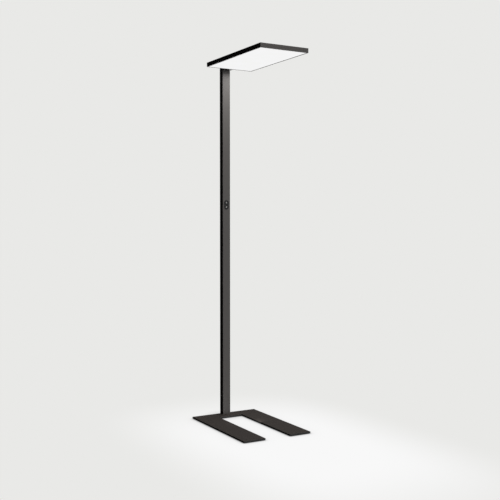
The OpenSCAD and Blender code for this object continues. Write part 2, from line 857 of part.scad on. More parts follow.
module side_rail() {
    difference() {
        mitred_rail(head_w, head_l);
        for (y = cover_screw_y) translate([-cover_screw_x, y, ledge_z - 1])
            cylinder(h = rib_t + 3, r = small_hole_r);
    }
}

module end_rail() rotate([0, 0, 90]) mitred_rail(head_l, head_w);

module rail_left() color("#131313") at_head() side_rail();
module rail_right() color("#131313") at_head() mirror([1, 0, 0]) side_rail();
module rail_front() color("#131313") at_head() end_rail();

module rail_rear() {
    color("#131313") difference() {
        at_head() mirror([0, 1, 0]) end_rail();
        at_head_rear() translate([0, 0, joint_z]) rotate([90, 0, 0]) {
            translate([0, 0, -1]) cylinder(h = rail_wall + 2, r = lead_hole_r);
            for (side = [-1, 1]) translate([side * m4_x, 0, -1])
                cylinder(h = rail_wall + 2, r = m4_hole_r);
        }
    }
}

// Angle pieces that hold the rails' mitres together, lying on the shelf
module corner_keys() {
    key_h = ledge_z - chassis_z - fit_gap;
    inset = rail_wall + shank_gap;
    color("#9a9a9a") at_head() for (mx = [0, 1], my = [0, 1]) mirror([mx, 0, 0]) mirror([0, my, 0])
        translate([head_w / 2 - inset, head_l / 2 - inset, chassis_z]) difference() {
            union() {
                translate([-key_l, -key_w, 0]) cube([key_l, key_w, key_h]);
                translate([-key_w, -key_l, 0]) cube([key_w, key_l, key_h]);
            }
            for (a = [0, 1]) mirror([a, -a, 0]) translate([-key_l + key_hole_inset, 1, key_h / 2])
                rotate([90, 0, 0]) cylinder(h = key_w + 2, r = small_hole_r);
        }
}

// ---------- light downwards ----------

module frame_plate(t) {
    w = head_w - 2 * (rail_wall + plate_gap);
    l = head_l - 2 * (rail_wall + plate_gap);
    translate([-w / 2, -l / 2, 0]) cube([w, l, t]);
}

module diffuser() color("white") at_head() translate([0, 0, diffuser_z]) frame_plate(diffuser_t);

module guide_sheet(t) {
    l = head_l - 2 * (rail_wall + plate_gap);
    translate([-guide_w / 2, -l / 2, 0]) cube([guide_w, l, t]);
}

module light_guide() color("#e8f0f4") at_head() translate([0, 0, guide_z]) guide_sheet(guide_t);
module reflector_sheet() color("white") at_head() translate([0, 0, reflector_z]) guide_sheet(reflector_t);

// Strip on the inner face of the left rail, its LEDs facing the light guide
module led_strip() {
    strip_h = shelf_z - guide_z - fit_gap;
    translate([-head_w / 2 + rail_wall, 0, guide_z]) {
        translate([0, -strip_l / 2, 0]) cube([strip_t, strip_l, strip_h]);
        for (y = [-strip_l / 2 + led_pitch : led_pitch : strip_l / 2 - led_pitch])
            translate([strip_t - eps, y - led[1] / 2, (guide_t - led[2]) / 2])
                cube([led[0] + eps, led[1], led[2]]);
    }
}

module led_strip_left() color("#f1e7a0") at_head() led_strip();
module led_strip_right() color("#f1e7a0") at_head() mirror([1, 0, 0]) led_strip();

module foam_strips() {
    l = head_l - 2 * (rail_wall + key_l + 10);
    color("#555555") at_head() for (i = [-1.5 : 1 : 1.5])
        translate([i * guide_w / 4 - foam_w / 2, -l / 2, foam_z]) cube([foam_w, l, foam_t]);
}

// ---------- inside of the head ----------

module chassis_sheet() {
    notch = key_l + rail_wall + 1;
    color("#c4c7c9") difference() {
        at_head() translate([0, 0, chassis_z]) difference() {
            frame_plate(chassis_t);
            for (mx = [0, 1], my = [0, 1]) mirror([mx, 0, 0]) mirror([0, my, 0])
                translate([head_w / 2 - notch, head_l / 2 - notch, -1]) cube([notch, notch, chassis_t + 2]);
        }
        at_block_screws() translate([0, 0, chassis_z - 1]) cylinder(h = chassis_t + 2, r = small_hole_r);
    }
}

module at_block_screws()
    at_head_rear() for (side = [-1, 1]) translate([side * m4_x, -rail_wall - block_l + 6, 0]) children();

module mount_block() {
    color("#a8abad") difference() {
        at_head_rear() translate([-block_w / 2, -rail_wall - block_l, chassis_top])
            cube([block_w, block_l, block_h]);
        at_head_rear() translate([0, -rail_wall - block_l - 1, joint_z]) rotate([-90, 0, 0])
            cylinder(h = block_l + 2, r = lead_hole_r);
        at_head_rear() for (side = [-1, 1])
            translate([side * m4_x, -rail_wall + 1, joint_z]) rotate([90, 0, 0])
                cylinder(h = m4_depth, r = m4_hole_r);
        at_block_screws() translate([0, 0, chassis_top + block_h])
            flat_screw_hole(small_flat_r, small_flat_h, small_hole_r, block_h + 1);
    }
}

module block_screws() {
    color("silver") at_block_screws() translate([0, 0, chassis_top + block_h - screw_sink]) flat_screw(
        small_flat_r, small_flat_h, small_screw_r, block_h + chassis_t - 2 * screw_sink, small_flat_key_r
    );
}

module head_terminal() {
    color("ivory") translate([-head_terminal[0] / 2, head_terminal_y - head_terminal[1], head_z + chassis_top])
        cube(head_terminal);
}

// Two wires from the terminal to the board
module board_wires() {
    board_rear_y = head_y + up_board_l / 2;
    wires_rear_y = head_terminal_y - head_terminal[1];
    color("#aa3322") for (side = [-1, 1])
        translate([side * board_wire_x, wires_rear_y, head_z + chassis_top + board_t / 2])
            rotate([90, 0, 0]) cylinder(h = wires_rear_y - board_rear_y, r = board_wire_r);
}

module uplight_board() {
    color("#f4f4f0") at_head() translate([0, 0, chassis_top]) {
        translate([-up_board_w / 2, -up_board_l / 2, 0]) cube([up_board_w, up_board_l, board_t]);
        for (side = [-1, 1], y = [up_led_pitch : up_led_pitch : up_board_l - up_led_pitch / 2])
            translate([(side * up_led_row - up_led) / 2, y - (up_board_l + up_led) / 2, board_t - eps])
                cube([up_led, up_led, up_led_t + eps]);
    }
}

// ---------- top of the head ----------

module uplight_lens() {
    color("#eef2f3") at_head() {
        translate([-window_w / 2 - lens_flange, -window_l / 2 - lens_flange, cover_z - lens_flange_t])
            cube([window_w + 2 * lens_flange, window_l + 2 * lens_flange, lens_flange_t]);
        translate([0, 0, cover_z - eps]) linear_extrude(cover_t + eps)
            round_rect([window_w - 2 * plate_gap, window_l - 2 * plate_gap], window_r - plate_gap);
    }
}

module top_cover() {
    color("#151515") at_head() difference() {
        translate([0, 0, cover_z]) frame_plate(cover_t);
        translate([0, 0, cover_z - 1]) linear_extrude(cover_t + 2) round_rect([window_w, window_l], window_r);
        for (side = [-1, 1], y = cover_screw_y) translate([side * cover_screw_x, y, head_t])
            flat_screw_hole(cover_flat_r, cover_flat_h, small_hole_r, cover_t + 1);
    }
}

module cover_screws() {
    color("#0e0e0e") at_head() for (side = [-1, 1], y = cover_screw_y)
        translate([side * cover_screw_x, y, head_t - screw_sink])
            flat_screw(cover_flat_r, cover_flat_h, small_screw_r, cover_screw_l, small_flat_key_r);
}

base_plate();
base_glides();
base_screws();
mast_profile();
gear_tray();
led_driver();
driver_screws();
terminal_block();
mains_wires();
lamp_lead();
control_lead();
gland_body();
gland_seal();
gland_cap();
gland_nut();
control_plate();
control_board();
board_screws();
switch_bodies();
button_up_cap();
button_up_lens();
button_up_plunger();
button_down_cap();
button_down_lens();
button_down_plunger();
neck_tray();
neck_lid();
neck_lid_screws();
neck_mast_screws();
neck_head_screws();
rail_left();
rail_right();
rail_front();
rail_rear();
corner_keys();
diffuser();
light_guide();
reflector_sheet();
led_strip_left();
led_strip_right();
foam_strips();
chassis_sheet();
mount_block();
block_screws();
head_terminal();
board_wires();
uplight_board();
uplight_lens();
top_cover();
cover_screws();
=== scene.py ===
# Office floor lamp: its finishes, its fine trim and a pale studio round it
import math

import bmesh
import bpy
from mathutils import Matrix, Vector


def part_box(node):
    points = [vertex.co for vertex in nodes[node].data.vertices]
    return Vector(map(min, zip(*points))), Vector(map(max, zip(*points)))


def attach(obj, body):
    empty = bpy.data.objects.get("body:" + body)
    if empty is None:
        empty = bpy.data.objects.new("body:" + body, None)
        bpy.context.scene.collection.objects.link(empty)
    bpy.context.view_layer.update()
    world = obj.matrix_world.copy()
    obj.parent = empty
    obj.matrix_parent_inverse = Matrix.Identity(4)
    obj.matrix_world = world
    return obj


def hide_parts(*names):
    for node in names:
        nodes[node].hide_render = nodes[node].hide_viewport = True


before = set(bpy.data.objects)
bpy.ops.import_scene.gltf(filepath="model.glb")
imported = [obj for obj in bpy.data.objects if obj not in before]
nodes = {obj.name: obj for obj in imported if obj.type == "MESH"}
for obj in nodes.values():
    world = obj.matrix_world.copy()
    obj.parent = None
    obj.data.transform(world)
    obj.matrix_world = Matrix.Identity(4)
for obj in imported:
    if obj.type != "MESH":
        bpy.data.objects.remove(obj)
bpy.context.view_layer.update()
mm = 0.001
near = 0.1 * mm                        # points closer than this count as lying on one plane or ring
square = 0.99                          # a face is square to an axis from this share of its normal along it
colourA, colourB, colourOut = 6, 7, 2  # sockets of a Mix node that mixes colours


def linear(hexColour):
    # sRGB hex to Blender's linear colour
    channels = [int(hexColour[i:i + 2], 16) / 255 for i in (1, 3, 5)]
    return [c / 12.92 if c <= 0.04045 else ((c + 0.055) / 1.055) ** 2.4 for c in channels] + [1.0]


def addNode(tree, kind, links=None, values=None, stops=None, **settings):
    # links: input and the output that feeds it; values: input and its number;
    # stops: places and colours of a ramp's two ends
    node = tree.nodes.new("ShaderNode" + kind)
    for key, value in settings.items():
        setattr(node, key, value)
    for key, value in (values or {}).items():
        node.inputs[key].default_value = value
    for key, output in (links or {}).items():
        tree.links.new(output, node.inputs[key])
    for end, (place, colour) in enumerate(stops or ()):
        node.color_ramp.elements[end].position = place
        node.color_ramp.elements[end].color = linear(colour)
    return node


def startRound(name, middle, radius, depth, sides, turned=(0, 0, 0)):
    # a disc at its size and place, to be shaped in edit mode
    bpy.ops.object.select_all(action="DESELECT")
    bpy.ops.mesh.primitive_cylinder_add(
        vertices=sides, radius=radius, depth=depth, location=middle, rotation=turned)
    piece = bpy.context.object
    piece.name = name
    bpy.ops.object.transform_apply(location=True, rotation=True, scale=True)
    bpy.ops.object.mode_set(mode="EDIT")
    return piece


def pick(piece, kind, wanted):
    # edit mode: selects only the points, edges or faces that pass
    bpy.ops.mesh.select_all(action="DESELECT")
    bpy.context.tool_settings.mesh_select_mode = (kind == "verts", kind == "edges", kind == "faces")
    mesh = bmesh.from_edit_mesh(piece.data)
    for part in getattr(mesh, kind):
        if wanted(part):
            part.select_set(True)
    bmesh.update_edit_mesh(piece.data)


def pull(distance):
    # extrudes what is selected; distance is a vector in metres
    bpy.ops.mesh.extrude_region_move(TRANSFORM_OT_translate={"value": distance})


def finishPiece(piece, material, body, smoothDegrees=35):
    bpy.ops.object.mode_set(mode="OBJECT")
    bpy.ops.object.shade_smooth_by_angle(angle=math.radians(smoothDegrees))
    piece.data.materials.clear()
    piece.data.materials.append(materials[material])
    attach(piece, body)


# The photograph's viewing angle, in metres and degrees
viewpoint = {
    "place": (-2.1270, -3.7470, 1.0841),
    "yawDegrees": 29.4766,             # turned from +Y towards +X
    "pitchDegrees": -1.918,
    "lensMm": 58.82,
    "seesAsFarAs": 400,
}


def makeCamera(plan):
    bpy.ops.object.camera_add(location=plan["place"])
    camera = bpy.context.object
    camera.name = "viewpoint"
    tilt = math.radians(90 + plan["pitchDegrees"])
    camera.rotation_euler = (tilt, 0, -math.radians(plan["yawDegrees"]))
    camera.data.lens = plan["lensMm"]
    camera.data.clip_end = plan["seesAsFarAs"]
    bpy.context.scene.camera = camera


bpy.ops.object.select_all(action="DESELECT")
makeCamera(viewpoint)
print("camera placed")


# Pale studio: a floor that fades into the backdrop, a painted pool of lamplight on it, and soft boxes
studio = {
    "backdrop": "#e9e9e7",
    "floorSize": 120,                  # m
    "floorDrop": 0.2,                  # mm that the floor lies under the glide pads
    # painted light: the pool's colour, place, half size and edge on the floor
    "paintedPoolBright": "#f8f8f8",
    "poolCentre": (0.012, -0.440),     # m
    "poolHalf": (0.529, 0.889),        # m
    "poolPower": 3.3,                  # 2 is an ellipse, higher is squarer
    "poolSoft": 1.05,                  # share of its half size over which it fades
    "contactReach": 120,               # mm round the plate over which its shadow fades
    "contactDepth": 0.4,               # 0 is the shadow of even light, higher is darker
    "contactSamples": 16,
    "panelWatts": 3.5,
    "panelSpread": 157,                # degrees, as a glare-free panel has
    "panelInset": 6,                   # mm from the diffuser's edges to its light's
    "panelDrop": 1,                    # mm from the rails down to that light
    "panelPastMast": 3,                # mm from the mast's left side to that light: this side stays black
    "boxTone": "#ffffff",
    # directions of the soft boxes, cosines where each begins and is full, and their brightness
    "softBoxes": {
        "key": ((0.55, -0.83, 0.30), 0.50, 0.98, 1.35),
        "overhead": ((0.30, -0.05, 1.0), 0.70, 1.00, 1.50),
        "behindRight": ((0.95, 0.30, 0.20), 0.45, 0.98, 0.20),
    },
    # what only reflections see, and what shines up from under the horizon
    "glossBoxes": {"left": ((-1.0, -0.05, 0.15), 0.90, 0.99, 0.15)},
    "lowBoxes": {
        "below": ((0.0, 0.0, -1.0), 0.75, 1.00, 0.40),
        "frontLow": ((0.50, -0.86, -0.38), 0.86, 1.00, 1.70),
    },
    "horizon": 0.04,                   # sine of the height over which matt faces lose the soft boxes
    # places and sizes in m, and what each light leaves unlit
    "areaLights": {
        "litFloorBounce": dict(
            place=(0.025, 0.02, 0.035), towards=(0.0, 0.28, 0.03), size=(0.09, 0.04), watts=0.15,
            unlit=["studioFloor", "diffuser"]),
        "rearFill": dict(
            place=(0.9, 2.6, 1.3), towards=(0.0, -0.1, 1.1), size=(1.4, 2.2), watts=50.0,
            unlit=["studioFloor", "base_plate", "diffuser"]),
    },
}


def makeWorld(plan):
    world = bpy.data.worlds.new("softStudio")
    bpy.context.scene.world = world
    world.use_nodes = True
    world.cycles.sampling_method = "NONE"
    tree = world.node_tree
    tree.nodes.clear()
    rays = addNode(tree, "LightPath")
    direction = addNode(tree, "TexCoord").outputs["Generated"]
    height = addNode(tree, "SeparateXYZ", {"Vector": direction}).outputs["Z"]
    above = addNode(
        tree, "MapRange", {"Value": height},
        {"From Min": -plan["horizon"], "From Max": plan["horizon"]}).outputs["Result"]

    def brightness(boxes):
        # sum of the boxes in this direction
        total = None
        for towards, edge, full, strength in boxes.values():
            facing = addNode(
                tree, "VectorMath", {0: direction}, {1: Vector(towards).normalized()},
                operation="DOT_PRODUCT").outputs["Value"]
            box = addNode(
                tree, "MapRange", {"Value": facing},
                {"From Min": edge, "From Max": full, "To Min": 0.0, "To Max": strength},
                interpolation_type="SMOOTHSTEP").outputs["Result"]
            if total is not None:
                box = addNode(tree, "Math", {0: total, 1: box}, operation="ADD").outputs[0]
            total = box
        return total

    soft = brightness(plan["softBoxes"])
    onMatt = addNode(tree, "Math", {0: soft, 1: above}, operation="MULTIPLY").outputs[0]
    reflected = brightness(plan["glossBoxes"])
    onGloss = addNode(tree, "Math", {0: soft, 1: reflected}, operation="ADD").outputs[0]
    glossy = rays.outputs["Is Glossy Ray"]
    high = addNode(tree, "Mix", {"Factor": glossy, "A": onMatt, "B": onGloss}).outputs["Result"]
    low = brightness(plan["lowBoxes"])
    strength = addNode(tree, "Math", {0: high, 1: low}, operation="ADD").outputs[0]
    light = addNode(tree, "Background", {"Strength": strength}, {"Color": linear(plan["boxTone"])})
    # the camera sees an even backdrop in place of the boxes
    backdrop = addNode(tree, "Background", values={"Color": linear(plan["backdrop"]), "Strength": 1.0})
    seen = addNode(
        tree, "MixShader",
        {0: rays.outputs["Is Camera Ray"], 1: light.outputs[0], 2: backdrop.outputs[0]})
    addNode(tree, "OutputWorld", {"Surface": seen.outputs[0]})


def makeFloor(plan):
    bpy.ops.mesh.primitive_plane_add(size=plan["floorSize"], location=(0, 0, -plan["floorDrop"] * mm))
    floor = bpy.context.object
    floor.name = "studioFloor"
    floor.visible_glossy = False
    floor.visible_diffuse = False
    material = bpy.data.materials.new("paleStudioFloor")
    floor.data.materials.append(material)
    material.use_nodes = True
    tree = material.node_tree
    tree.nodes.clear()
    # the painted pool of lamplight: a rounded rectangle with a soft edge
    axes = addNode(tree, "SeparateXYZ", {"Vector": addNode(tree, "TexCoord").outputs["Object"]})
    powers = []
    for axis, centre, half in zip("XY", plan["poolCentre"], plan["poolHalf"]):
        shifted = addNode(tree, "Math", {0: axes.outputs[axis]}, {1: centre}, operation="SUBTRACT")
        share = addNode(tree, "Math", {0: shifted.outputs[0]}, {1: half}, operation="DIVIDE")
        size = addNode(tree, "Math", {0: share.outputs[0]}, operation="ABSOLUTE")
        power = addNode(tree, "Math", {0: size.outputs[0]}, {1: plan["poolPower"]}, operation="POWER")
        powers.append(power.outputs[0])
    total = addNode(tree, "Math", {0: powers[0], 1: powers[1]}, operation="ADD")
    reach = addNode(tree, "Math", {0: total.outputs[0]}, {1: 1 / plan["poolPower"]}, operation="POWER")
    halfSoft = plan["poolSoft"] / 2
    pool = addNode(
        tree, "MapRange", {"Value": reach.outputs[0]},
        {"From Min": 1 + halfSoft, "From Max": 1 - halfSoft}, interpolation_type="SMOOTHSTEP")
    # painted light: the backdrop colour brightens to the pool's colour in its middle
    colour = addNode(
        tree, "Mix", {"Factor": pool.outputs["Result"]},
        {colourA: linear(plan["backdrop"]), colourB: linear(plan["paintedPoolBright"])}, data_type="RGBA")
    # the floor glows, darkened by ambient occlusion into a painted contact shadow where the plate lies close
    shaded = addNode(
        tree, "AmbientOcclusion", {"Color": colour.outputs[colourOut]},
        {"Distance": plan["contactReach"] * mm}, samples=plan["contactSamples"])
    closeUp = addNode(tree, "Math", {0: shaded.outputs["AO"]}, {1: plan["contactDepth"]}, operation="POWER")
    lit = addNode(tree, "Emission", {"Color": shaded.outputs["Color"], "Strength": closeUp.outputs[0]})
    # seen from below, the floor isn't there
    clear = addNode(tree, "BsdfTransparent")
    below = addNode(tree, "NewGeometry").outputs["Backfacing"]
    shown = addNode(tree, "MixShader", {0: below, 1: lit.outputs[0], 2: clear.outputs[0]})
    addNode(tree, "OutputMaterial", {"Surface": shown.outputs[0]})


def makeAreaLight(name, place, towards, size, watts, unlit):
    bpy.ops.object.light_add(type="AREA", location=place)
    light = bpy.context.object
    light.name = name
    light.rotation_euler = (Vector(towards) - Vector(place)).to_track_quat("-Z", "Y").to_euler()
    light.data.shape = "RECTANGLE"
    light.data.size, light.data.size_y = size
    light.data.energy = watts
    light.visible_camera = False
    skips = bpy.data.collections.new(name + "Skips")
    light.light_linking.receiver_collection = skips
    for skipped in unlit:
        skips.objects.link(bpy.data.objects[skipped])
    for link in skips.collection_objects:
        link.light_linking.link_state = "EXCLUDE"
    return light


def makePanelLight(plan):
    # what the lit panel throws on the mast; the diffuser only looks white, and the floor has its own
    # painted pool of light
    low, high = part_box("diffuser")
    inset = plan["panelInset"] * mm
    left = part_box("mast_profile")[0].x + plan["panelPastMast"] * mm
    right = high.x - inset
    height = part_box("rail_left")[0].z - plan["panelDrop"] * mm
    middle = Vector(((left + right) / 2, (low.y + high.y) / 2, height))
    below = middle - Vector((0, 0, 1))
    size = (right - left, high.y - low.y - 2 * inset)
    light = makeAreaLight("panelGlow", middle, below, size, plan["panelWatts"], ["studioFloor"])
    light.data.spread = math.radians(plan["panelSpread"])


makeWorld(studio)
makeFloor(studio)
makePanelLight(studio)
for name, plan in studio["areaLights"].items():
    makeAreaLight(name, **plan)
bpy.context.scene.view_settings.view_transform = "Standard"
print("studio ready")


# Finishes. grain: size of the pattern in mm along X, Y and Z; tones: its two colours; rough: its two
# roughness values; tall: height of the relief in mm, deeper than real where the grain is drawn coarser;
# cloud: size in mm and strength of broad patches where the finish is a shade lighter and rougher, as
# handling leaves it; paintedSideShade: painted shade, the colour of upright faces;
# glow: brightness of the light behind it

# extruded aluminium, etched and anodised dark grey: a soft satin sheen that runs down the length;
# its die lines are 0.1 mm wide and drawn 1.5 mm wide so that they show
anodised = dict(tones=("#3b3835", "#403c3a"), rough=(0.52, 0.60), metal=0.15, tall=0.005, cloud=(140, 0.03))

finishes = {
    "mastAnodised": dict(anodised, grain=(1.5, 1.5, 300)),
    "railAnodised": dict(anodised, grain=(1.5, 300, 1.5)),
    # the same anodising with tones a shade lighter: a painted highlight where the end rails catch more light
    "endRailAnodised": dict(anodised, grain=(300, 1.5, 1.5), tones=("#3e3a37", "#43403d")),
    # steel plate with a baked polyester powder coat: matt warm black with an even fine grit; the grit
    # is 0.4 mm across and drawn 1.6 mm wide so that it shows; the cut sides carry a near-black painted shade
    "plateCoat": dict(
        tones=("#2a231e", "#322a25"), rough=(0.66, 0.78), grain=(1.6, 1.6, 1.6), tall=0.03,
        # painted shade: a near-black colour on the plate's upright sides
        cloud=(90, 0.05), paintedSideShade="#060505"),
    # the same coat on the head's thin cover: smoother and dark grey, its grit drawn 1.2 mm wide
    "coverCoat": dict(
        tones=("#2b2928", "#322f2e"), rough=(0.50, 0.62), grain=(1.2, 1.2, 1.2), tall=0.02,
        cloud=(90, 0.04)),
    # pressed rubber: dusty and very matt, with a fine grit
    "glideRubber": dict(tones=("#1f1f1f", "#303030"), rough=(0.80, 0.95), grain=(0.8, 0.8, 0.8), tall=0.08),
    "sealRubber": dict(tones=("#191919", "#262626"), rough=(0.70, 0.85), grain=(0.5, 0.5, 0.5), tall=0.03),
    # moulded nylon with a spark-eroded texture from its mould: satin black
    "blackNylon": dict(
        tones=("#1a1a1a", "#242424"), rough=(0.42, 0.52), grain=(0.5, 0.5, 0.5), tall=0.03, ior=1.53),
    # moulded ABS, near black and dull: the control plate finely textured, the caps a little smoother
    "plateAbs": dict(
        tones=("#0c0b0b", "#100f0f"), rough=(0.55, 0.65), grain=(0.6, 0.6, 0.6), tall=0.03, ior=1.4),
    "capAbs": dict(
        tones=("#0c0b0b", "#100f0f"), rough=(0.50, 0.60), grain=(0.6, 0.6, 0.6), tall=0.01, ior=1.4),
    # frosted polycarbonate over a small light that is off: pale grey and satin
    "lensFrosted": dict(
        tones=("#8f8d8a", "#9b9996"), rough=(0.30, 0.40), grain=(0.8, 0.8, 0.8), tall=0.01, ior=1.58),
    # moulded polycarbonate and nylon inside the mast and the head: off-white and ivory, satin
    "driverCase": dict(
        tones=("#dededb", "#e9e9e6"), rough=(0.40, 0.50), grain=(0.9, 0.9, 0.9), tall=0.03, ior=1.58),
    "terminalNylon": dict(
        tones=("#d4d0c2", "#e1ddd0"), rough=(0.45, 0.55), grain=(0.7, 0.7, 0.7), tall=0.03, ior=1.53),
    # extruded PVC round copper: smooth, with a slight wax-like gloss
    "wireBrown": dict(tones=("#683b21", "#754528"), rough=(0.34, 0.42), grain=(3, 3, 3), ior=1.53),
    "leadBlack": dict(
        tones=("#161616", "#1f1f1f"), rough=(0.45, 0.55), grain=(1.5, 1.5, 1.5), tall=0.02, ior=1.53),
    # turned steel with bright zinc on it, clouded in patches of a few millimetres
    "zincSteel": dict(tones=("#b3b4b1", "#cdceca"), rough=(0.24, 0.36), metal=1.0, grain=(3, 3, 3)),
    # steel blackened in an oil bath: near black with a dull metal gleam
    "blackSteel": dict(tones=("#1b1b1c", "#29292a"), rough=(0.34, 0.46), metal=1.0, grain=(2, 2, 2)),
    # aluminium as it comes from the mill: bright, with faint lines along the rolling
    "millAluminium": dict(
        tones=("#c2c4c5", "#d4d6d7"), rough=(0.32, 0.44), metal=1.0, grain=(1.5, 80, 1.5), tall=0.01),
    # hot-dipped sheet steel: zinc crystals about 6 mm across, each with its own tone
    "spangledZinc": dict(
        kind="TexVoronoi", tones=("#9ea2a4", "#c3c7c9"), rough=(0.30, 0.50), metal=1.0, grain=(6, 6, 6)),
    # solder resist on glass-fibre and on aluminium boards: an even gloss with a slight wave in it
    "boardGreen": dict(
        tones=("#15532f", "#1c683b"), rough=(0.30, 0.40), grain=(2, 2, 2), tall=0.03, ior=1.5),
    "boardWhite": dict(
        tones=("#e8e8e2", "#f2f2ed"), rough=(0.35, 0.45), grain=(2, 2, 2), tall=0.03, ior=1.5),
    # micro-foamed polyester film: even, bright and matt
    "reflectorFilm": dict(tones=("#efefef", "#f9f9f9"), rough=(0.65, 0.75), grain=(1, 1, 1), tall=0.01),
    # open-cell foam with cells of 1.2 mm: dark, porous and fully matt
    "openFoam": dict(
        kind="TexVoronoi", tones=("#26282a", "#4a4c4f"), rough=(0.90, 1.00), grain=(1.2, 1.2, 1.2),
        tall=0.4),
    # cast acrylic sheet with printed dots 3 mm apart: polished, and duller at some dots than at others
    "clearAcrylic": dict(
        kind="TexVoronoi", tones=("#ffffff", "#dfe9ec"), rough=(0.08, 0.30), grain=(3, 3, 3), ior=1.49),
    # opal acrylic with the light behind it: even, clouded in patches of 60 mm, with a fine satin skin
    "diffuserOpal": dict(
        tones=("#efefee", "#f1f1f2"), rough=(0.45, 0.55), grain=(60, 60, 60), ior=1.49, glow=1.03),
    "windowOpal": dict(
        tones=("#ecece9", "#f0f0ee"), rough=(0.35, 0.45), grain=(60, 60, 60), ior=1.49, glow=0.80),
}
patterns = {
    "noiseBand": (0.3, 0.7),           # nearly all of a noise pattern lies between these
    "grainDetail": 3.0,
    "cloudDetail": 2.0,
    "reliefStrength": 0.5,
    # the painted side shade is full below the first value and gone above the second
    "paintedShadeBand": (0.3, 0.8),            # the normal's upright share where a side ends and where a top begins
}


def makeFinish(name, plan):
    material = bpy.data.materials.new(name)
    material.use_nodes = True
    tree = material.node_tree
    tree.nodes.clear()
    shader = addNode(tree, "BsdfPrincipled", values={"Metallic": plan.get("metal", 0.0)})
    addNode(tree, "OutputMaterial", {"Surface": shader.outputs["BSDF"]})
    # one pattern gives the tone, the roughness and the relief
    surface = addNode(tree, "TexCoord")
    scale = [1 / (size * mm) for size in plan["grain"]]
    point = addNode(tree, "Mapping", {"Vector": surface.outputs["Object"]}, {"Scale": scale})
    kind = plan.get("kind", "TexNoise")
    pattern = addNode(tree, kind, {"Vector": point.outputs["Vector"]}, {"Scale": 1.0})
    noiseLow, noiseHigh = patterns["noiseBand"]
    if kind == "TexNoise":
        pattern.inputs["Detail"].default_value = patterns["grainDetail"]
        value, low, high = pattern.outputs["Fac"], noiseLow, noiseHigh
    else:
        value = addNode(tree, "SeparateXYZ", {"Vector": pattern.outputs["Color"]}).outputs["X"]
        low, high = 0.0, 1.0
    stops = zip((low, high), plan["tones"])
    colour = addNode(tree, "ValToRGB", {"Fac": value}, stops=stops).outputs["Color"]
    smooth, dull = plan["rough"]
    rough = addNode(
        tree, "MapRange", {"Value": value},
        {"From Min": low, "From Max": high, "To Min": smooth, "To Max": dull}).outputs["Result"]
    if "cloud" in plan:
        size, strength = plan["cloud"]
        patches = addNode(
            tree, "TexNoise", {"Vector": surface.outputs["Object"]},
            {"Scale": 1 / (size * mm), "Detail": patterns["cloudDetail"]}).outputs["Fac"]
        lift = addNode(
            tree, "MapRange", {"Value": patches},
            {"From Min": noiseLow, "From Max": noiseHigh, "To Min": 1 - strength, "To Max": 1 + strength})
        lift = lift.outputs["Result"]
        colour = addNode(tree, "VectorMath", {0: colour, "Scale": lift}, operation="SCALE").outputs[0]
        rough = addNode(tree, "Math", {0: rough, 1: lift}, operation="MULTIPLY").outputs[0]
    # painted shade: faces that stand upright take the darker side colour
    if "paintedSideShade" in plan:
        upright = addNode(tree, "SeparateXYZ", {"Vector": surface.outputs["Normal"]}).outputs["Z"]
        flatness = addNode(tree, "Math", {0: upright}, operation="ABSOLUTE").outputs[0]
        side, top = patterns["paintedShadeBand"]
        facing = addNode(tree, "MapRange", {"Value": flatness}, {"From Min": side, "From Max": top})
        colour = addNode(
            tree, "Mix", {"Factor": facing.outputs["Result"], colourB: colour},
            {colourA: linear(plan["paintedSideShade"])}, data_type="RGBA").outputs[colourOut]
    tree.links.new(rough, shader.inputs["Roughness"])
    if "ior" in plan:
        shader.inputs["IOR"].default_value = plan["ior"]
    if "tall" in plan:
        relief = addNode(
            tree, "Bump", {"Height": value},
            {"Strength": patterns["reliefStrength"], "Distance": plan["tall"] * mm})
        tree.links.new(relief.outputs["Normal"], shader.inputs["Normal"])
    if "glow" in plan:
        shader.inputs["Base Color"].default_value = linear("#000000")
        shader.inputs["Emission Strength"].default_value = plan["glow"]
        tree.links.new(colour, shader.inputs["Emission Color"])
    else:
        tree.links.new(colour, shader.inputs["Base Color"])
    return material


worn = {
    "mastAnodised": ["mast_profile"],
    "railAnodised": ["rail_left", "rail_right", "neck_tray", "neck_lid"],
    "endRailAnodised": ["rail_front", "rail_rear"],
    "plateCoat": ["base_plate"],
    "coverCoat": ["top_cover"],
    "glideRubber": ["base_glides"],
    "sealRubber": ["gland_seal"],
    "blackNylon": [
        "gland_body", "gland_cap", "gland_nut", "switch_bodies", "button_up_plunger", "button_down_plunger"],
    "plateAbs": ["control_plate"],
    "capAbs": ["button_up_cap", "button_down_cap"],
    "lensFrosted": ["button_up_lens", "button_down_lens"],
    "driverCase": ["led_driver"],
    "terminalNylon": ["terminal_block", "head_terminal"],
    "wireBrown": ["mains_wires", "board_wires"],
    "leadBlack": ["lamp_lead", "control_lead"],
    "zincSteel": [
        "base_screws", "driver_screws", "board_screws", "neck_mast_screws", "neck_head_screws",
        "block_screws"],
    "blackSteel": ["neck_lid_screws", "cover_screws"],
    "millAluminium": ["corner_keys", "chassis_sheet", "mount_block"],
    "spangledZinc": ["gear_tray"],
    "boardGreen": ["control_board"],
    "boardWhite": ["led_strip_left", "led_strip_right", "uplight_board"],
    "reflectorFilm": ["reflector_sheet"],
    "openFoam": ["foam_strips"],
    "clearAcrylic": ["light_guide"],
    "diffuserOpal": ["diffuser"],
    "windowOpal": ["uplight_lens"],
}
materials = {name: makeFinish(name, plan) for name, plan in finishes.items()}
for name, pieces in worn.items():
    for piece in pieces:
        nodes[piece].data.materials.clear()
        nodes[piece].data.materials.append(materials[name])
print("finishes on", sum(len(pieces) for pieces in worn.values()), "of", len(nodes), "pieces")


